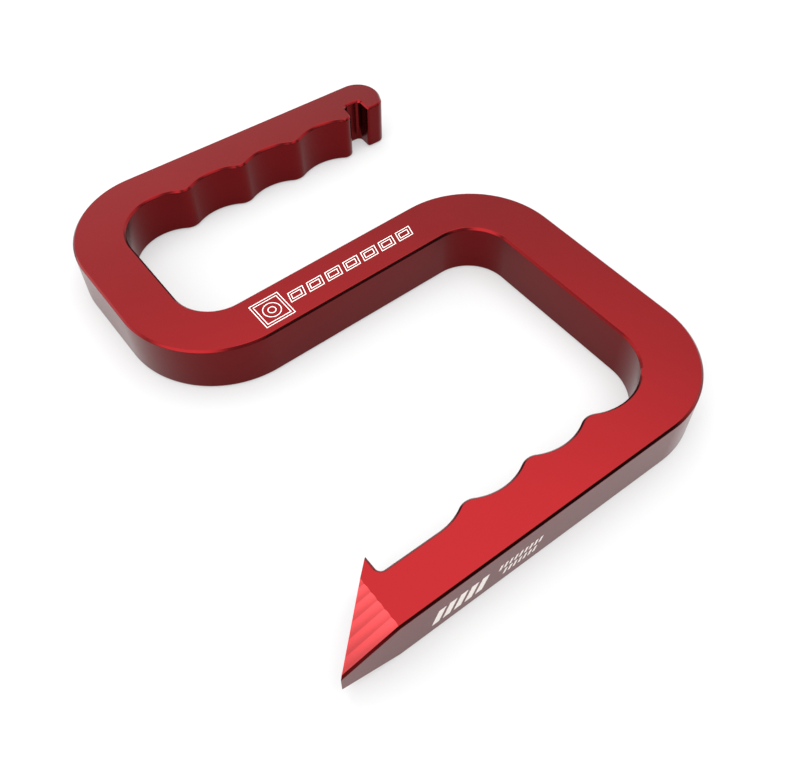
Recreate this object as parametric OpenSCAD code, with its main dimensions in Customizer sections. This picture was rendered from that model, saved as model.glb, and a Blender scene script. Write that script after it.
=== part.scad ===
// One-piece rescue hand tool in the shape of a squared S, milled from a single aluminium plate.
// A middle bar joins two side bars, and each side bar carries a grip with finger grooves.
// The upper grip ends in a slotted hook, the lower grip in a bevelled pick with a barb.
// The plate lies flat on z = 0. The origin is under the centre of the middle bar.

/* [Plate] */
// Thickness of the plate
thickness = 25.4; // [19:0.1:32]
// Width of the middle bar, the side bars and the upper grip
bar_w = 25.4; // [22:0.1:28]
// Width of the 45 degree edge break, top and bottom
edge_break = 1; // [0.4:0.1:1]

/* [Layout] */
// Distance between the outer faces of the two side bars
span = 190.5; // [188:0.5:196]
// Height of the upper grip's outer face above the middle bar's centre line, at the left side bar
upper_reach = 123.4; // [115:0.1:130]
// Fall of the upper grip towards its hook, in degrees
upper_tilt = 3.9; // [0:0.1:6]
// Depth of the lower grip's outer face below the middle bar's centre line
lower_reach = 152.8; // [140:0.1:160]

/* [Corners] */
// Outer radius where the left side bar meets the upper grip
upper_left_r = 43.6; // [35:0.1:48]
// Outer radius where the left side bar meets the middle bar
lower_left_r = 48.6; // [35:0.1:52]
// Outer radius where the middle bar meets the right side bar
upper_right_r = 45.6; // [35:0.1:48]
// Outer radius where the right side bar meets the lower grip
lower_right_r = 44; // [35:0.1:48]
// Inner radius at both ends of the middle bar
inner_r = 20.5; // [15:0.1:24]

/* [Grips] */
// Radius of a finger groove
groove_r = 25.4; // [22:0.1:28]
// Radius of the inner corner beside the upper grip
upper_corner_r = 24; // [22:0.1:25]
// Distance from one finger groove to the next
groove_pitch = 31.75; // [30:0.25:34]
// Width of a grip at the bottom of its grooves
grip_w = 21.3; // [19:0.1:22]
// Radius on the ridges between the grooves
ridge_r = 7.8; // [6:0.1:10]

/* [Hook] */
// Distance from the upper grip's outer corner to the middle of the hook's slot
slot_at = 172.4; // [171:0.1:174]
// Width of the slot
slot_w = 9.5; // [8:0.1:10.5]
// Thickness that the slot leaves in the grip
slot_floor = 15.3; // [13:0.1:17]
// Radius in the slot's two corners
slot_r = 2.4; // [1.5:0.1:3]
// Radius on the grip's end beside the slot
grip_end_r = 4.5; // [3.5:0.1:5]
// Distance from the slot's middle to the hook's end
hook_l = 17.7; // [17:0.1:20]
// Thickness of the hook's nose, across the grip
nose_depth = 24.3; // [23.5:0.1:25]
// Distance that the nose's outer corner is set back from the hook's end
nose_setback = 2; // [1.5:0.1:3]
// Radius on the nose's outer corner
nose_r = 4.8; // [3.5:0.1:5]
// Radius on the nose's corner beside the slot
nose_tip_r = 1.5; // [1.5:0.1:2]

/* [Pick] */
// Distance from the left side bar's outer face to the barb's inner face
barb_at = 16.5; // [12:0.1:20]
// Height of the barb above the lower grip's outer face
barb_h = 29.8; // [27:0.1:32]
// Radius between the barb and the grip
barb_r = 2.6; // [1.5:0.1:4]
// Angle between the pick's slanted edge and the grip, in degrees
pick_angle = 42; // [38:0.5:48]
// Length of the bevels that thin the pick, top and bottom
bevel_l = 26; // [20:0.5:30]
// Slope of each bevel, in degrees
bevel_angle = 15.6; // [10:0.1:18]

/* [Hidden] */

$fn = 96;
clear = 0.4;        // how far a cutter stands outside the plate
tiny = 0.01;        // points closer than this are one point
lap = 0.005;        // arcs stand this far past the straights, so that they cross cleanly
plate_red = [0.72, 0.16, 0.19];

middle_top = bar_w / 2;
left_inner = bar_w;
right_inner = span - bar_w;
tip_x = barb_at - barb_h / tan(pick_angle);
bevel_x = tip_x + bevel_l;

// The outline is a belt round circles [x, y, r], with the plate on the left of the belt.
// A positive radius is an outer corner, a negative one an inner corner, and zero a sharp one.
// It is laid out from the left side bar's outer face and the middle bar's centre line.

// A circle on the upper grip: u runs along its outer face, v from that face inwards
function on_grip(u, v, r) = [
    u * cos(upper_tilt) - v * sin(upper_tilt),
    upper_reach - u * sin(upper_tilt) - v * cos(upper_tilt),
    r
];

// The ridge between grooves a and b: a circle that touches both, on the plate's side
function ridge(a, b) =
    let (
        step = [b.x - a.x, b.y - a.y],
        gap = norm(step),
        to_a = ridge_r - a.z,
        to_b = ridge_r - b.z,
        along = (gap * gap + to_a * to_a - to_b * to_b) / (2 * gap),
        across = sqrt(to_a * to_a - along * along)
    )
    [
        a.x + (step.x * along - step.y * across) / gap,
        a.y + (step.y * along + step.x * across) / gap,
        ridge_r
    ];

// A row of grooves with a ridge between each two
function ridged(grooves) = [
    for (i = [0 : len(grooves) - 1])
        each (i == 0 ? [grooves[0]] : [ridge(grooves[i - 1], grooves[i]), grooves[i]])
];

// The upper grip's first groove is the inner corner itself, tangent to the side bar
upper_v = grip_w + upper_corner_r;
upper_u = (left_inner + upper_corner_r + upper_v * sin(upper_tilt)) / cos(upper_tilt);
upper_grooves = concat(
    [on_grip(upper_u, upper_v, -upper_corner_r)],
    [for (k = [1 : 3]) on_grip(upper_u + k * groove_pitch, grip_w + groove_r, -groove_r)]
);
// The lower grip's first groove is the inner corner below the right side bar
lower_grooves = [
    for (k = [0 : 3])
        [right_inner - groove_r - k * groove_pitch, -lower_reach + grip_w + groove_r, -groove_r]
];

slot_left = slot_at - slot_w / 2;
slot_right = slot_at + slot_w / 2;
hook_r = bar_w / 2;
hook_end = slot_at + hook_l;

// The grip's end is rounded against the last groove and the slot
last_groove_u = upper_u + 3 * groove_pitch;
end_u = slot_left - grip_end_r;
end_v = grip_w + groove_r - sqrt(pow(groove_r + grip_end_r, 2) - pow(end_u - last_groove_u, 2));

upper_left_u = upper_left_r * (1 + sin(upper_tilt)) / cos(upper_tilt);

belt = concat(
    [
        [lower_left_r, lower_left_r - middle_top, lower_left_r],
        [right_inner - inner_r, -middle_top - inner_r, -inner_r]
    ],
    ridged(lower_grooves),
    [
        [barb_at + barb_r, -lower_reach + grip_w + barb_r, -barb_r],
        [barb_at, -lower_reach + barb_h, 0],
        [tip_x, -lower_reach, 0],
        [span - lower_right_r, -lower_reach + lower_right_r, lower_right_r],
        [span - upper_right_r, middle_top - upper_right_r, upper_right_r],
        [left_inner + inner_r, middle_top + inner_r, -inner_r]
    ],
    ridged(upper_grooves),
    [
        on_grip(end_u, end_v, grip_end_r),
        on_grip(slot_left + slot_r, slot_floor + slot_r, -slot_r),
        on_grip(slot_right - slot_r, slot_floor + slot_r, -slot_r),
        on_grip(slot_right + nose_tip_r, nose_depth - nose_tip_r, nose_tip_r),
        on_grip(hook_end - nose_setback - nose_r, nose_depth - nose_r, nose_r),
        on_grip(hook_end - hook_r, hook_r, hook_r),
        on_grip(upper_left_u, upper_left_r, upper_left_r)
    ]
);
count = len(belt);

// Direction, in degrees, that the belt's straight from circle a to circle b faces
function facing(a, b) =
    let (gap = norm([b.x - a.x, b.y - a.y]))
    atan2(b.y - a.y, b.x - a.x) - acos(max(-1, min(1, (a.z - b.z) / gap)));

// The point of a circle's rim that faces an angle
function rim(circle, angle) = [
    circle.x + circle.z * cos(angle),
    circle.y + circle.z * sin(angle)
];

// The next and the last circle on the belt
function after(i) = (i + 1) % count;
function before(i) = (i + count - 1) % count;

// For each circle: the way its next straight faces, where the belt meets it, and where it leaves
straight = [for (i = [0 : count - 1]) facing(belt[i], belt[after(i)])];
arrive = [for (i = [0 : count - 1]) rim(belt[i], straight[before(i)])];
leave = [for (i = [0 : count - 1]) rim(belt[i], straight[i])];

corners = [
    for (i = [0 : count - 1])
        each concat(
            norm(arrive[i] - leave[before(i)]) > tiny ? [arrive[i]] : [],
            norm(leave[i] - arrive[i]) > tiny ? [leave[i]] : []
        )
];

module whole_circle(i) {
    translate([belt[i].x, belt[i].y])
        circle(abs(belt[i].z) + lap);
}

// The part of an outer corner's circle that stands out past its chord
module arc_piece(i) {
    chord = leave[i] - arrive[i];
    along = chord / norm(chord) * 2;
    out = [along.y, -along.x] / 2;
    start = arrive[i] - along - out;
    end = leave[i] + along - out;
    intersection() {
        whole_circle(i);
        polygon([start, end, end + out * belt[i].z * 2, start + out * belt[i].z * 2]);
    }
}

module outline() {
    difference() {
        union() {
            polygon(corners);
            for (i = [0 : count - 1])
                if (belt[i].z > 0) arc_piece(i);
        }
        for (i = [0 : count - 1])
            if (belt[i].z < 0) whole_circle(i);
    }
}

// Section of the edge breaks, top and bottom, with the plate on the left of x = 0
module break_section() {
    reach = edge_break + clear;
    polygon([[-reach, thickness + clear], [clear, thickness - reach], [clear, thickness + clear]]);
    polygon([[-reach, -clear], [clear, -clear], [clear, reach]]);
}

// How far a straight's cutter runs on past its end at circle i, out over an outer corner
function run_on(i) = belt[i].z < 0 ? 0 : 0.5 + 1.2 * sqrt(2 * belt[i].z * lap);

module straight_break(i) {
    long = norm(arrive[after(i)] - leave[i]);
    travel = (arrive[after(i)] - leave[i]) / long;
    end = arrive[after(i)] + travel * run_on(after(i));
    translate([end.x, end.y, 0])
        rotate([90, 0, straight[i]])
            linear_extrude(run_on(i) + long + run_on(after(i))) break_section();
}

// Round an outer corner the cutter follows the arc, round an inner one it is a whole ring
module round_break(i) {
    outer = belt[i].z > 0;
    turn = straight[i] - straight[before(i)];
    translate([belt[i].x, belt[i].y, 0])
        rotate([0, 0, straight[before(i)]])
            rotate_extrude(angle = outer ? turn - 360 * floor(turn / 360) : 360)
                translate([abs(belt[i].z) + lap, 0])
                    mirror([outer ? 0 : 1, 0]) break_section();
}

slanted_edge = [for (i = [0 : count - 1]) if (belt[i].z == 0 && belt[after(i)].z == 0) i][0];

module edge_breaks() {
    for (i = [0 : count - 1]) {
        if (belt[i].z != 0) round_break(i);
        if (i != slanted_edge && norm(arrive[after(i)] - leave[i]) > tiny) straight_break(i);
    }
}

// The two wedges that thin the pick, with the edge break that follows them along the outer face
module bevels() {
    long = bevel_l * 2;
    for (side = [0, 1])
        translate([bevel_x, 0, side * thickness])
            mirror([0, 0, side]) {
                rotate([0, bevel_angle, 0])
                    translate([-long, -lower_reach - bar_w, -thickness])
                        cube([long, bar_w * 3, thickness]);
                rotate([0, bevel_angle, 0])
                    translate([0, -lower_reach, 0])
                        rotate([90, 0, -90])
                            linear_extrude(long)
                                polygon([
                                    [edge_break + clear, -clear],
                                    [-clear, -clear],
                                    [-clear, edge_break + clear]
                                ]);
            }
}

module body() {
    color(plate_red)
        translate([-span / 2, 0, 0])
            difference() {
                linear_extrude(thickness) outline();
                edge_breaks();
                bevels();
            }
}

body();
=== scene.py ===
# %% [markdown]
# A one-piece rescue hand tool. The real object is milled from one 25.4 mm aluminium plate in the
# shape of a squared S: a middle bar, two side bars, and two grips with finger grooves. One grip
# ends in a slotted hook, the other in a bevelled pick. It is blasted to a satin, anodised red, and
# marked by laser. Nothing on it is assembled, so there is one large piece here and four thin marks.
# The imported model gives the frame: every length below is in metres and sits where that model sits.

# %% Load the frame
from math import acos, atan2, ceil, cos, hypot, pi, radians, sin, sqrt, tan

import bmesh
import bpy
from mathutils import Euler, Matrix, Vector


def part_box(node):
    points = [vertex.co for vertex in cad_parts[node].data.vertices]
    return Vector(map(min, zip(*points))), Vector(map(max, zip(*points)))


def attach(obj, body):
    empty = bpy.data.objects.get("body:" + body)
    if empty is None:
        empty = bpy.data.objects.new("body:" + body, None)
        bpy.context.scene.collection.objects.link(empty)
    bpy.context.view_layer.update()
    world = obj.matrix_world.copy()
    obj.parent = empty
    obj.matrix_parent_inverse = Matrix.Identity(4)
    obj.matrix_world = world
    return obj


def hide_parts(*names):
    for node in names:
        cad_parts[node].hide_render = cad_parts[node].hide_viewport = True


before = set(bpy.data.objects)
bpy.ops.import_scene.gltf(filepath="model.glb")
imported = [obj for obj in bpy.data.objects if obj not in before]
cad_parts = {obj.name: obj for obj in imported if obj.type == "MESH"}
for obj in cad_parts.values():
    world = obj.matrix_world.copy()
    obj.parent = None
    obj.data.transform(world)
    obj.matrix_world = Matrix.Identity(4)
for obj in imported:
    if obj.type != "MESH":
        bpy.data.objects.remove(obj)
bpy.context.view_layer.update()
scene = bpy.context.scene
MM = 0.001

# %% [markdown]
# The camera comes first, so that every later choice can be judged through it. It stands a third of
# a metre above the plate, beyond the near left corner, and looks down across the tool. The shift
# only slides the framing sideways and up, the way a print is cropped.

# %% Place the camera
camera = bpy.data.objects.new("camera", bpy.data.cameras.new("camera"))
scene.collection.objects.link(camera)
camera.location = (-0.16221, -0.25245, 0.32989)
camera.rotation_euler = Euler((radians(35.98), radians(3.04), radians(-36.0)), "XYZ")
camera.data.lens = 42.12
camera.data.shift_x = 0.0631
camera.data.shift_y = 0.0308
scene.camera = camera
print("camera at", [round(c, 3) for c in camera.location])

# %% [markdown]
# The design's own dimensions are repeated here, because the outline is drawn again with finer arcs
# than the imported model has. What the frame can tell is taken from it: the plate's thickness, the
# distance over the side bars and the depth of the lower grip.

# %% Name the dimensions
body_low, body_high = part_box("body")
THICKNESS = body_high.z
SPAN = 2 * body_high.x
LOWER_REACH = -body_low.y
BAR_W = THICKNESS
EDGE_BREAK = 1 * MM

UPPER_REACH = 123.4 * MM
UPPER_TILT = radians(3.9)
UPPER_LEFT_R = 43.6 * MM
LOWER_LEFT_R = 48.6 * MM
UPPER_RIGHT_R = 45.6 * MM
LOWER_RIGHT_R = 44 * MM
INNER_R = 20.5 * MM

GROOVE_R = 25.4 * MM
UPPER_CORNER_R = 24 * MM
GROOVE_PITCH = 31.75 * MM
GRIP_W = 21.3 * MM
RIDGE_R = 7.8 * MM

SLOT_AT = 172.4 * MM
SLOT_W = 9.5 * MM
SLOT_FLOOR = 15.3 * MM
SLOT_R = 2.4 * MM
GRIP_END_R = 4.5 * MM
HOOK_END = SLOT_AT + 17.7 * MM
NOSE_DEPTH = 24.3 * MM
NOSE_SETBACK = 2 * MM
NOSE_R = 4.8 * MM
NOSE_TIP_R = 1.5 * MM

BARB_AT = 16.5 * MM
BARB_H = 29.8 * MM
BARB_R = 2.6 * MM
PICK_ANGLE = radians(42)
BEVEL_L = 26 * MM
BEVEL_ANGLE = radians(15.6)
TIP_X = BARB_AT - BARB_H / tan(PICK_ANGLE)
tip_here = round((TIP_X - SPAN / 2) / MM, 2)
print("tip of the pick at x =", tip_here, "mm, frame says", round(body_low.x / MM, 2))

# %% [markdown]
# The outline is a belt laid round circles, as on a drawing where arcs run tangent into lines. Each
# entry is a centre and a radius: a positive radius bulges, a negative one is scooped out, and zero
# is a sharp corner. The metal is always on the left of the belt. Writing it this way needs two
# dozen circles in place of hundreds of points, and a groove's radius stays a number one can change.

# %% Lay out the circles
def on_grip(u, v, r):
    """A circle on the tilted upper grip: u along its outer face, v inwards from that face."""
    x = u * cos(UPPER_TILT) - v * sin(UPPER_TILT)
    y = UPPER_REACH - u * sin(UPPER_TILT) - v * cos(UPPER_TILT)
    return (x, y, r)


def ridge(a, b):
    """The circle on the metal's side that touches grooves a and b."""
    dx, dy = b[0] - a[0], b[1] - a[1]
    gap = hypot(dx, dy)
    to_a, to_b = RIDGE_R - a[2], RIDGE_R - b[2]
    along = (gap**2 + to_a**2 - to_b**2) / (2 * gap)
    across = sqrt(to_a**2 - along**2)
    return (a[0] + (dx * along - dy * across) / gap, a[1] + (dy * along + dx * across) / gap, RIDGE_R)


def ridged(grooves):
    """A row of grooves with a ridge between each two."""
    row = grooves[:1]
    for groove in grooves[1:]:
        row += [ridge(row[-1], groove), groove]
    return row


def belt_circles():
    """All circles of the outline, in order, from the left bar's outer face and the middle bar's axis."""
    right_inner = SPAN - BAR_W
    first_v = GRIP_W + UPPER_CORNER_R
    first_u = (BAR_W + UPPER_CORNER_R + first_v * sin(UPPER_TILT)) / cos(UPPER_TILT)
    upper = [on_grip(first_u, first_v, -UPPER_CORNER_R)]
    upper += [on_grip(first_u + k * GROOVE_PITCH, GRIP_W + GROOVE_R, -GROOVE_R) for k in (1, 2, 3)]
    groove_y = -LOWER_REACH + GRIP_W + GROOVE_R
    lower = [(right_inner - GROOVE_R - k * GROOVE_PITCH, groove_y, -GROOVE_R) for k in range(4)]

    slot_left, slot_right = SLOT_AT - SLOT_W / 2, SLOT_AT + SLOT_W / 2
    end_u = slot_left - GRIP_END_R
    from_groove = end_u - first_u - 3 * GROOVE_PITCH
    end_v = GRIP_W + GROOVE_R - sqrt((GROOVE_R + GRIP_END_R) ** 2 - from_groove**2)
    return [
        (LOWER_LEFT_R, LOWER_LEFT_R - BAR_W / 2, LOWER_LEFT_R),
        (right_inner - INNER_R, -BAR_W / 2 - INNER_R, -INNER_R),
        *ridged(lower),
        (BARB_AT + BARB_R, -LOWER_REACH + GRIP_W + BARB_R, -BARB_R),
        (BARB_AT, -LOWER_REACH + BARB_H, 0),
        (TIP_X, -LOWER_REACH, 0),
        (SPAN - LOWER_RIGHT_R, -LOWER_REACH + LOWER_RIGHT_R, LOWER_RIGHT_R),
        (SPAN - UPPER_RIGHT_R, BAR_W / 2 - UPPER_RIGHT_R, UPPER_RIGHT_R),
        (BAR_W + INNER_R, BAR_W / 2 + INNER_R, -INNER_R),
        *ridged(upper),
        on_grip(end_u, end_v, GRIP_END_R),
        on_grip(slot_left + SLOT_R, SLOT_FLOOR + SLOT_R, -SLOT_R),
        on_grip(slot_right - SLOT_R, SLOT_FLOOR + SLOT_R, -SLOT_R),
        on_grip(slot_right + NOSE_TIP_R, NOSE_DEPTH - NOSE_TIP_R, NOSE_TIP_R),
        on_grip(HOOK_END - NOSE_SETBACK - NOSE_R, NOSE_DEPTH - NOSE_R, NOSE_R),
        on_grip(HOOK_END - BAR_W / 2, BAR_W / 2, BAR_W / 2),
        on_grip(UPPER_LEFT_R * (1 + sin(UPPER_TILT)) / cos(UPPER_TILT), UPPER_LEFT_R, UPPER_LEFT_R),
    ]


circles = [(x - SPAN / 2, y, r) for x, y, r in belt_circles()]
print("circles in the outline:", len(circles))

# %% [markdown]
# Edit mode needs a few small helpers. An operator acts on whatever is selected, so each step first
# clears the selection and then picks vertices, edges or faces by where they are or which way they
# face. That is the script's version of clicking on them.

# %% Helpers for edit mode
def deselect_everything():
    for thing in bpy.context.selected_objects:
        thing.select_set(False)


def open_piece(piece):
    """Makes the piece active and opens it in edit mode with nothing selected."""
    select_only(piece)
    bpy.ops.object.mode_set(mode="EDIT")
    bpy.ops.mesh.select_all(action="DESELECT")


def close_piece():
    bpy.ops.object.mode_set(mode="OBJECT")


def select_only(*pieces):
    """Selects these pieces and makes the first one active."""
    deselect_everything()
    for piece in pieces:
        piece.select_set(True)
    bpy.context.view_layer.objects.active = pieces[0]


def pick(piece, kind, test):
    """Selects the vertices, edges or faces (VERT, EDGE, FACE) that pass the test; returns how many."""
    bpy.ops.mesh.select_all(action="DESELECT")
    bpy.ops.mesh.select_mode(type=kind)
    mesh = bmesh.from_edit_mesh(piece.data)
    mesh.normal_update()
    found = [e for e in {"VERT": mesh.verts, "EDGE": mesh.edges, "FACE": mesh.faces}[kind] if test(e)]
    for element in found:
        element.select_set(True)
    bmesh.update_edit_mesh(piece.data)
    return len(found)


def fresh_plane(name, size, location=(0, 0, 0)):
    """A plane whose place is in its mesh, so that its object sits at the origin."""
    deselect_everything()
    bpy.ops.mesh.primitive_plane_add(size=size, location=location)
    piece = bpy.context.object
    piece.name = piece.data.name = name
    bpy.ops.object.transform_apply(location=True)
    return piece


# %% [markdown]
# To draw the outline, a plane is merged to a single point. The point is then pulled along each
# straight by extrude and swept round each circle by spin, like a pencil run along a template. The
# steps of an arc follow its radius: no chord strays more than a few microns from the true curve.

# %% Draw the outline
CHORD_ERROR = 0.005 * MM


def facing(a, b):
    """The angle that the straight from circle a to circle b faces."""
    gap = hypot(b[0] - a[0], b[1] - a[1])
    return atan2(b[1] - a[1], b[0] - a[0]) - acos(max(-1, min(1, (a[2] - b[2]) / gap)))


def rim(circle, angle):
    return (circle[0] + circle[2] * cos(angle), circle[1] + circle[2] * sin(angle))


def draw_outline():
    """Returns a piece with one flat face inside the belt."""
    count = len(circles)
    straight = [facing(circles[i], circles[(i + 1) % count]) for i in range(count)]
    at = rim(circles[0], straight[-1])
    piece = fresh_plane("plate", MM, (*at, 0))
    open_piece(piece)
    bpy.ops.mesh.select_all(action="SELECT")
    bpy.ops.mesh.merge(type="CENTER")
    for i, circle in enumerate(circles):
        x, y, r = circle
        turn = (straight[i] - straight[i - 1]) % (2 * pi)
        if r <= 0:
            turn = -((straight[i - 1] - straight[i]) % (2 * pi))
        if r != 0 and abs(turn) > 1e-6:
            step = 2 * acos(1 - CHORD_ERROR / abs(r))
            bpy.ops.mesh.spin(
                steps=ceil(abs(turn) / step), angle=SPIN_WAY * turn, center=(x, y, 0), axis=(0, 0, 1)
            )
            at = rim(circle, straight[i])
        onward = rim(circles[(i + 1) % count], straight[i])
        if hypot(onward[0] - at[0], onward[1] - at[1]) > 1e-6:
            move = (onward[0] - at[0], onward[1] - at[1], 0)
            bpy.ops.mesh.extrude_region_move(TRANSFORM_OT_translate={"value": move})
            at = onward
    bpy.ops.mesh.select_all(action="SELECT")
    bpy.ops.mesh.remove_doubles(threshold=1e-6)
    bpy.ops.mesh.edge_face_add()
    close_piece()
    return piece


SPIN_WAY = -1
plate = draw_outline()
print("outline points:", len(plate.data.vertices), "faces:", len(plate.data.polygons))

# %% [markdown]
# The flat outline becomes the plate by one extrude. Then the end mill thins the pick from both
# sides. A bisect that clears one side does the same job as that cutter, but its plane is endless
# and would also clip the left side bar. So the plate's faces are first divided halfway down the
# right side bar, and only the faces below that line are selected when the sloping planes cut.

# %% Thicken the plate and cut the pick's two slopes
HALF = SPAN / 2
CREASE_X = TIP_X + BEVEL_L - HALF
DIVIDE_Y = -LOWER_REACH / 2
NEAR = 0.01 * MM


def below_divide(face):
    return all(v.co.y < DIVIDE_Y + NEAR for v in face.verts)


open_piece(plate)
bpy.ops.mesh.select_all(action="SELECT")
bpy.ops.mesh.extrude_region_move(TRANSFORM_OT_translate={"value": (0, 0, THICKNESS)})
bpy.ops.mesh.select_all(action="SELECT")
bpy.ops.mesh.normals_make_consistent(inside=False)
bpy.ops.mesh.bisect(plane_co=(0, DIVIDE_Y, 0), plane_no=(0, 1, 0))
for height, way in ((THICKNESS, 1), (0, -1)):
    pick(plate, "FACE", below_divide)
    bpy.ops.mesh.bisect(
        plane_co=(CREASE_X, 0, height),
        plane_no=(-sin(BEVEL_ANGLE), 0, way * cos(BEVEL_ANGLE)),
        use_fill=True,
        clear_outer=True,
    )
close_piece()
print("faces after the slopes:", len(plate.data.polygons))

# %% [markdown]
# Every edge of the two faces is broken at 45 degrees, except along the pick's slanted cutting edge,
# which stays sharp. The edges to bevel lie between an upward or downward face and an upright one.
# The slanted wall is told by its direction alone, so three narrow facets of the lower right inner
# corner, which face the same way, are left without an edge break too. That is a known flaw.
# The new narrow faces get their own material slot, since a turned chamfer shines more than the
# blasted faces beside it.

# %% Break the edges
SATIN, EDGE, MILLED = 0, 1, 2
FLAT = 0.9


def is_slanted_wall(face):
    return below_divide(face) and face.normal.dot(Vector((-sin(PICK_ANGLE), cos(PICK_ANGLE), 0))) > 0.999


def is_rim(edge):
    if len(edge.link_faces) != 2:
        return False
    a, b = sorted(edge.link_faces, key=lambda f: abs(f.normal.z))
    return abs(a.normal.z) < 1 - FLAT and abs(b.normal.z) > FLAT and not is_slanted_wall(a)


open_piece(plate)
rim_count = pick(plate, "EDGE", is_rim)
bpy.ops.mesh.bevel(
    offset=EDGE_BREAK, offset_type="OFFSET", segments=1, affect="EDGES", clamp_overlap=False
)
broken = pick(plate, "FACE", lambda f: 1 - FLAT < abs(f.normal.z) < FLAT)
close_piece()
print("rim edges:", rim_count, "narrow faces:", broken)

# %% [markdown]
# The slopes aren't ground flat. A round-nosed cutter went along the grip several times and left
# shallow troughs with low cusps between them, and these bands are what catches the light at the
# tip. Each slope face is divided by parallel cuts, and the ends of each cut are moved so that the
# line lies at the trough's depth there: at the crease it slides inside the plate's face, and at
# the cutting edge it drops inside the slanted wall. All other faces stay flat.

# %% Mill the troughs
TROUGHS = 6
TROUGH_DEPTH = 0.08 * MM
CUTS_EACH = 6
first_y = -LOWER_REACH + EDGE_BREAK
crease_end_y = -LOWER_REACH + BEVEL_L * tan(PICK_ANGLE)
band = (crease_end_y - first_y) / (TROUGHS - 0.4)


def depth_at(y):
    across = ((y - first_y) / band) % 1
    return TROUGH_DEPTH * (1 - (2 * across - 1) ** 2)


def is_slope(face, way):
    facing_out = Vector((-sin(BEVEL_ANGLE), 0, way * cos(BEVEL_ANGLE)))
    return face.normal.dot(facing_out) > 0.999 and below_divide(face)


def slope_height(x, way):
    """Height of a slope above x, on the upper side (way 1) or the lower side (way -1)."""
    drop = (CREASE_X - x) * tan(BEVEL_ANGLE)
    return THICKNESS - drop if way > 0 else drop


def mill(piece, way):
    total = int((crease_end_y - first_y) / band * CUTS_EACH)
    lines = [first_y + band * k / CUTS_EACH for k in range(1, total + 1)]
    for y in lines:
        pick(piece, "FACE", lambda f: is_slope(f, way))
        bpy.ops.mesh.bisect(plane_co=(0, y, 0), plane_no=(0, 1, 0))
    for y in lines:
        deep = depth_at(y)
        if deep < NEAR / 10:
            continue

        def on_line(v):
            near_slope = abs(v.co.z - slope_height(v.co.x, way)) < NEAR
            return abs(v.co.y - y) < NEAR and v.co.x < CREASE_X + NEAR and near_slope

        pick(piece, "VERT", lambda v: on_line(v) and abs(v.co.x - CREASE_X) < NEAR)
        bpy.ops.transform.translate(value=(deep / tan(BEVEL_ANGLE), 0, 0))
        pick(piece, "VERT", lambda v: on_line(v) and v.co.x < CREASE_X - NEAR)
        bpy.ops.transform.translate(value=(0, 0, -way * deep))
    return len(lines)


open_piece(plate)
made = [mill(plate, way) for way in (1, -1)]
close_piece()
print("cuts on the two slopes:", made)

# %% [markdown]
# No machined corner is perfectly sharp: after blasting and anodising it has a radius of about a
# tenth of a millimetre, and that radius is what draws a thin bright line along an edge. A Bevel
# modifier limited by angle rounds all true corners and leaves the grooves' small facets alone.
# A Weighted Normal modifier then keeps the big flat faces flat in shading.

# %% Round the corners slightly and smooth the shading
CORNER_R = 0.14 * MM


def finish_modifiers(piece):
    """Applies every modifier on the piece, in order."""
    select_only(piece)
    for name in [m.name for m in piece.modifiers]:
        bpy.ops.object.modifier_apply(modifier=name)


def smooth(piece, angle):
    select_only(piece)
    bpy.ops.object.shade_smooth_by_angle(angle=radians(angle))


for name in ("satin", "edge", "milled"):
    plate.data.materials.append(bpy.data.materials.new(name))
for face in plate.data.polygons:
    on_slope = face.center.x < CREASE_X and face.center.y < DIVIDE_Y and 0.9 < abs(face.normal.z) < 0.995
    in_break = 0.1 < abs(face.normal.z) < 0.9
    face.material_index = MILLED if on_slope else EDGE if in_break else SATIN

corners = plate.modifiers.new("corners", "BEVEL")
corners.limit_method = "ANGLE"
corners.angle_limit = radians(25)
corners.width = CORNER_R
corners.segments = 2
corners.use_clamp_overlap = False
finish_modifiers(plate)
smooth(plate, 30)


def stays_crisp(edge):
    """The crease, and each low ridge between two troughs."""
    milled = [f for f in edge.link_faces if f.material_index == MILLED]
    return bool(milled) and edge.calc_face_angle(0) > radians(6)


open_piece(plate)
crisp = pick(plate, "EDGE", stays_crisp)
bpy.ops.mesh.mark_sharp()
close_piece()
print("crisp edges on the pick:", crisp)
flat_faces = plate.modifiers.new("flat_faces", "WEIGHTED_NORMAL")
flat_faces.keep_sharp = True
flat_faces.weight = 100
finish_modifiers(plate)
print("plate triangles:", sum(len(p.vertices) - 2 for p in plate.data.polygons))

# %% [markdown]
# A laser has etched white marks on the middle bar and on the outer wall of the lower grip. The
# maker's own signs aren't copied: a ring in a square and rows of slanted bars take their places
# and sizes. An etched line is flush, but a separate thin layer gives it clean edges, so each mark
# is cut from a flat sheet of 0.05 mm that stands 0.02 mm proud of the metal. Every shape is drawn
# flat at the origin first, and its outline is what an inset leaves when the middle is deleted.

# %% Shapes for the etched marks
STROKE = 0.38 * MM
SHEET_T = 0.05 * MM
PROUD = 0.02 * MM
RING_CORNERS = 40


def hollow_out():
    """Keeps only the outline of the selected flat face."""
    bpy.ops.mesh.inset(thickness=STROKE)
    bpy.ops.mesh.delete(type="FACE")


def thicken_sheet(piece):
    bpy.ops.mesh.select_all(action="SELECT")
    bpy.ops.mesh.extrude_region_move(TRANSFORM_OT_translate={"value": (0, 0, SHEET_T)})
    bpy.ops.mesh.select_all(action="SELECT")
    bpy.ops.mesh.normals_make_consistent(inside=False)
    close_piece()
    return piece


def bar(name, width, height, slant=0.0, hollow=False):
    """A flat bar whose top is pushed to the right by the slant."""
    piece = fresh_plane(name, 1)
    open_piece(piece)
    bpy.ops.mesh.select_all(action="SELECT")
    bpy.ops.transform.resize(value=(width, height, 1))
    pick(piece, "VERT", lambda v: v.co.y > 0)
    bpy.ops.transform.translate(value=(slant, 0, 0))
    bpy.ops.mesh.select_all(action="SELECT")
    if hollow:
        hollow_out()
    return thicken_sheet(piece)


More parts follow.
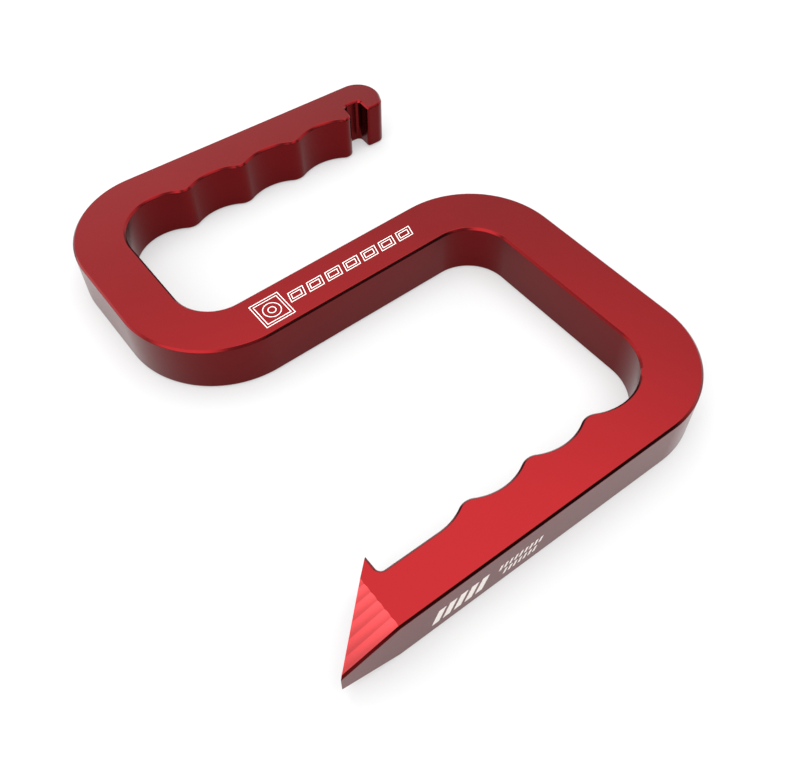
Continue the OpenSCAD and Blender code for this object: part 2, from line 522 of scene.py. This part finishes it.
def ring(name, radius):
    deselect_everything()
    bpy.ops.mesh.primitive_circle_add(vertices=RING_CORNERS, radius=radius, fill_type="NGON")
    piece = bpy.context.object
    piece.name = name
    open_piece(piece)
    bpy.ops.mesh.select_all(action="SELECT")
    hollow_out()
    return thicken_sheet(piece)


print("etched stroke in mm:", round(STROKE / MM, 2))

# %% [markdown]
# A shape that repeats is drawn once and duplicated along its row. The shapes of one mark are then
# joined, moved to their face, and turned upright if that face is a wall. Applying the move puts
# the place into the mesh, so the finished piece's object sits at the origin like all the others.

# %% Helpers that repeat and lay the shapes
def settle(*pieces):
    """Carries the pieces' moves and turns into their meshes."""
    select_only(*pieces)
    bpy.ops.object.transform_apply(location=True, rotation=True, scale=True)


def repeat(piece, count, step, shift=(0, 0)):
    """Copies a shape along a row, in steps to the right, centred on the shift."""
    row = [piece]
    while len(row) < count:
        select_only(piece)
        bpy.ops.object.duplicate(linked=False)
        row.append(bpy.context.object)
    for k, shape in enumerate(row):
        shape.location = (shift[0] + step * (k - (count - 1) / 2), shift[1], 0)
    return row


def lay(name, shapes, place, turn=0.0):
    """Joins shapes to one mark and lays it on its face."""
    settle(*shapes)
    bpy.ops.object.join()
    mark = shapes[0]
    mark.location = place
    mark.rotation_euler = (turn, 0, 0)
    settle(mark)
    mark.name = name
    print(name, "shapes:", len(shapes))
    return mark


# %% Marks on the middle bar
ON_TOP = THICKNESS - SHEET_T + PROUD
SQUARE_SIDES = (15.4 * MM, 12.6 * MM)
RING_RADII = (4.4 * MM, 2 * MM)
SLANTED, ROW_STEP = 7, 10.2 * MM

squares = [bar("square", side, side, hollow=True) for side in SQUARE_SIDES]
rings = [ring("ring", radius) for radius in RING_RADII]
icon_mark = lay("icon_mark", squares + rings, (-39.3 * MM, -1 * MM, ON_TOP))
outlines = repeat(bar("outline", 8.2 * MM, 5.8 * MM, 1.6 * MM, True), SLANTED, ROW_STEP)
middle = bar("middle", 5.4 * MM, 3.2 * MM, 0.9 * MM, True)
middles = repeat(middle, SLANTED, ROW_STEP, (0.2 * MM, 0))
bar_marks = lay("bar_marks", outlines + middles, (4.6 * MM, 0, ON_TOP))

# %% Marks on the lower grip's outer wall
ON_WALL = -LOWER_REACH + SHEET_T - PROUD
UPRIGHT = radians(90)
DASH_STEP = 2.5 * MM
DASH_LIFT = 2.5 * MM

bold = repeat(bar("bold", 3.4 * MM, 9 * MM, 3.2 * MM), 5, 5.2 * MM)
side_bars = lay("side_bars", bold, (-59 * MM, ON_WALL, 10.4 * MM), UPRIGHT)
dashes = []
for count, lift in ((9, DASH_LIFT), (7, -DASH_LIFT)):
    dashes += repeat(bar("dash", 1.2 * MM, 3.4 * MM, 1.1 * MM), count, DASH_STEP, (0, lift))
side_strokes = lay("side_strokes", dashes, (-28.5 * MM, ON_WALL, 10.2 * MM), UPRIGHT)
marks = [icon_mark, bar_marks, side_bars, side_strokes]

# %% [markdown]
# Finishes are built from nodes, and node maths reads best as plain sums. One small class wraps a
# socket, so that Python's own operators add Math nodes. Every other node comes from one method:
# settings are made first, because they can change which sockets a node has, and the sockets after.

# %% A socket that can stand in a sum
class Value:
    """An output socket of a node tree."""

    def __init__(self, tree, socket=None):
        self.tree = tree
        self.socket = socket

    def node(self, kind, settings=(), inputs=(), output=0):
        """Adds a node of this kind and returns one of its outputs."""
        made = self.tree.nodes.new(kind)
        for name, value in dict(settings).items():
            setattr(made, name, value)
        for name, value in dict(inputs).items():
            if isinstance(value, Value):
                self.tree.links.new(value.socket, made.inputs[name])
            else:
                made.inputs[name].default_value = value
        return Value(self.tree, made.outputs[output])

    def math(self, operation, *values):
        return self.node("ShaderNodeMath", {"operation": operation}, dict(enumerate(values)))

    def __add__(self, other):
        return self.math("ADD", self, other)

    __radd__ = __add__

    def __mul__(self, other):
        return self.math("MULTIPLY", self, other)

    __rmul__ = __mul__


def span(value, low, high, to_low=0.0, to_high=1.0):
    """Carries a value from one span to another, smoothly, and stops at the ends."""
    inputs = {"Value": value, "From Min": low, "From Max": high, "To Min": to_low, "To Max": to_high}
    return value.node("ShaderNodeMapRange", {"interpolation_type": "SMOOTHSTEP"}, inputs)


print("socket class ready")

# %% [markdown]
# Anodised aluminium is a metal seen through its own dyed oxide. The dye colours what the metal
# reflects, and at a low angle the reflection loses that colour. A metallic Principled shader does
# both. The red is darker than it looks in bright light, because a mirror shows its surroundings
# times its own colour. Blasting leaves a fine grain, so the roughness and a faint bump follow small
# noise in object coordinates, and the dye takes a little unevenly over centimetres.

# %% Anodised finishes
DYE = (0.12, 0.003, 0.004)
# The milled slopes' red is much lighter and paler than the satin red. Their smoother cut gives part of
# that; the rest is a painted highlight that stands in for the light their bands catch.
MILLED_DYE_AND_HIGHLIGHT = (0.42, 0.042, 0.045)
CLOUD_SCALE = 28
GRAIN_SCALE = 2600
GRAIN_HEIGHT = 0.02 * MM
ROUGH_SPREAD = 0.03


def tinted(start, colour, light, dark, mask):
    """A colour that goes from dark to light times its strength as the mask goes from 0 to 1."""
    ends = [(*[c * strength for c in colour], 1) for strength in (dark, light)]
    sockets = {0: mask, 6: ends[0], 7: ends[1]}
    return start.node("ShaderNodeMix", {"data_type": "RGBA"}, sockets, output=2)


def noise(start, place, scale, detail):
    return start.node("ShaderNodeTexNoise", {}, {"Vector": place, "Scale": scale, "Detail": detail})


def anodised(material, dye_and_highlight, roughness, grain):
    """Fills a material with the dyed metal finish; on the milled slopes its colour also holds a painted
    highlight.
    """
    material.use_nodes = True
    tree = material.node_tree
    shader = tree.nodes["Principled BSDF"]
    start = Value(tree)
    place = start.node("ShaderNodeTexCoord", output=3)
    clouds = noise(start, place, CLOUD_SCALE, 3)
    speckle = noise(start, place, GRAIN_SCALE, 1)
    colour = tinted(start, dye_and_highlight, 1.05, 0.95, clouds * 0.6 + speckle * 0.4)
    low, high = roughness - ROUGH_SPREAD, roughness + ROUGH_SPREAD
    rough = span(clouds * 0.5 + speckle * 0.5, 0.3, 0.7, low, high)
    relief = {"Strength": grain, "Distance": GRAIN_HEIGHT, "Height": speckle}
    bump = start.node("ShaderNodeBump", {}, relief)
    shader.inputs["Metallic"].default_value = 1
    shader.inputs["Coat Weight"].default_value = 0.1
    shader.inputs["Coat Roughness"].default_value = 0.3
    tree.links.new(colour.socket, shader.inputs["Base Color"])
    tree.links.new(rough.socket, shader.inputs["Roughness"])
    tree.links.new(bump.socket, shader.inputs["Normal"])
    print("finish:", material.name)


for material, dye_and_highlight, roughness, grain in (
    (plate.data.materials[SATIN], DYE, 0.24, 0.25),
    (plate.data.materials[EDGE], DYE, 0.16, 0.05),
    # The milled slopes' colour holds a painted highlight besides the dye.
    (plate.data.materials[MILLED], MILLED_DYE_AND_HIGHLIGHT, 0.1, 0.02),
):
    anodised(material, dye_and_highlight, roughness, grain)

# %% [markdown]
# The laser bleaches the dye and roughens the oxide to a chalky white. It isn't a metal any more,
# and it isn't quite even: fine speckle leaves a little of the warm grey below in it.

# %% Etched white
CHALK = (0.66, 0.61, 0.58)
CHALK_SCALE = 1900
etched = bpy.data.materials.new("etched_white")
etched.use_nodes = True
chalk = etched.node_tree.nodes["Principled BSDF"]
start = Value(etched.node_tree)
place = start.node("ShaderNodeTexCoord", output=3)
speckle = noise(start, place, CHALK_SCALE, 2)
mottled = tinted(start, CHALK, 1.1, 0.85, speckle)
uneven = span(speckle, 0.3, 0.7, 0.5, 0.7)
etched.node_tree.links.new(mottled.socket, chalk.inputs["Base Color"])
etched.node_tree.links.new(uneven.socket, chalk.inputs["Roughness"])
for mark in marks:
    mark.data.materials.append(etched)
print("finish:", etched.name)

# %% [markdown]
# The floor is a plain pale table that glows a little, as a lit table does. The glow keeps the
# shadows round the plate soft, and the plate's low walls mirror it.

# %% Lay the floor
TABLE_GREY = (0.24, 0.24, 0.24, 1)
TABLE_GLOW = 0.43
floor = fresh_plane("floor", 8, (0, 0, -0.02 * MM))
paint = bpy.data.materials.new("lit_table")
paint.use_nodes = True
table = paint.node_tree.nodes["Principled BSDF"]
table.inputs["Base Color"].default_value = TABLE_GREY
table.inputs["Roughness"].default_value = 0.9
table.inputs["Specular IOR Level"].default_value = 0
table.inputs["Emission Color"].default_value = (1, 1, 1, 1)
table.inputs["Emission Strength"].default_value = TABLE_GLOW
floor.data.materials.append(paint)
print("floor glow:", TABLE_GLOW)

# %% [markdown]
# A polished or satin metal shows its surroundings more than its own colour, so the room matters
# more than any lamp. It is pale all round, with one dark patch in front: the near edge breaks
# mirror that patch and read as thin black lines. Large soft lights are then placed where a face
# mirrors them: one overhead and two at the back for the top, one at the tip for the milled
# bands, and low ones at the sides for the other edge breaks. Each is a smooth spot in the sky,
# given by its azimuth and elevation, the cosines at its edge and its core, and its strength.

# %% Light the room
LIGHTS = {
    "lamp": (42, 75, 0.83, 0.98, 4.5),
    "back": (90, 36, 0.80, 0.99, 1.7),
    "right": (25, 40, 0.85, 1.0, 0.8),
    "left": (200, 35, 0.80, 0.96, 4.0),
    "tip": (165, 72, 0.87, 0.98, 0.9),
    "front": (-66, 60, 0.92, 0.98, 2.5),
    "low_left": (138, 12, 0.86, 0.97, 2.5),
    "low_right": (-10, 18, 0.80, 0.94, 1.5),
}
ROOM = 0.8
FAINT = 0.03
scene.world = bpy.data.worlds.new("studio")
scene.world.use_nodes = True
sky = Value(scene.world.node_tree)
direction = sky.node("ShaderNodeTexCoord")


def towards(azimuth, elevation):
    """How far the direction points that way, from -1 to 1."""
    a, e = radians(azimuth), radians(elevation)
    way = (cos(a) * cos(e), sin(a) * cos(e), sin(e))
    inputs = {0: direction, 1: way}
    return sky.node("ShaderNodeVectorMath", {"operation": "DOT_PRODUCT"}, inputs, output="Value")


light = span(towards(-64, 26), 0.925, 0.972, ROOM, 0) + FAINT
for azimuth, elevation, edge, core, strength in LIGHTS.values():
    light = light + span(towards(azimuth, elevation), edge, core, 0, strength)
background = scene.world.node_tree.nodes["Background"]
background.inputs["Color"].default_value = (1, 1, 1, 1)
scene.world.node_tree.links.new(light.socket, background.inputs["Strength"])
scene.view_settings.view_transform = "Standard"
print("lights in the room:", list(LIGHTS))

# %% [markdown]
# Last, the plate rides on the model's one body and stands for its packed twin, and the marks ride
# with it.

# %% Attach the pieces and finish
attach(plate, "root")
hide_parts("body")
for mark in marks:
    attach(mark, "root")
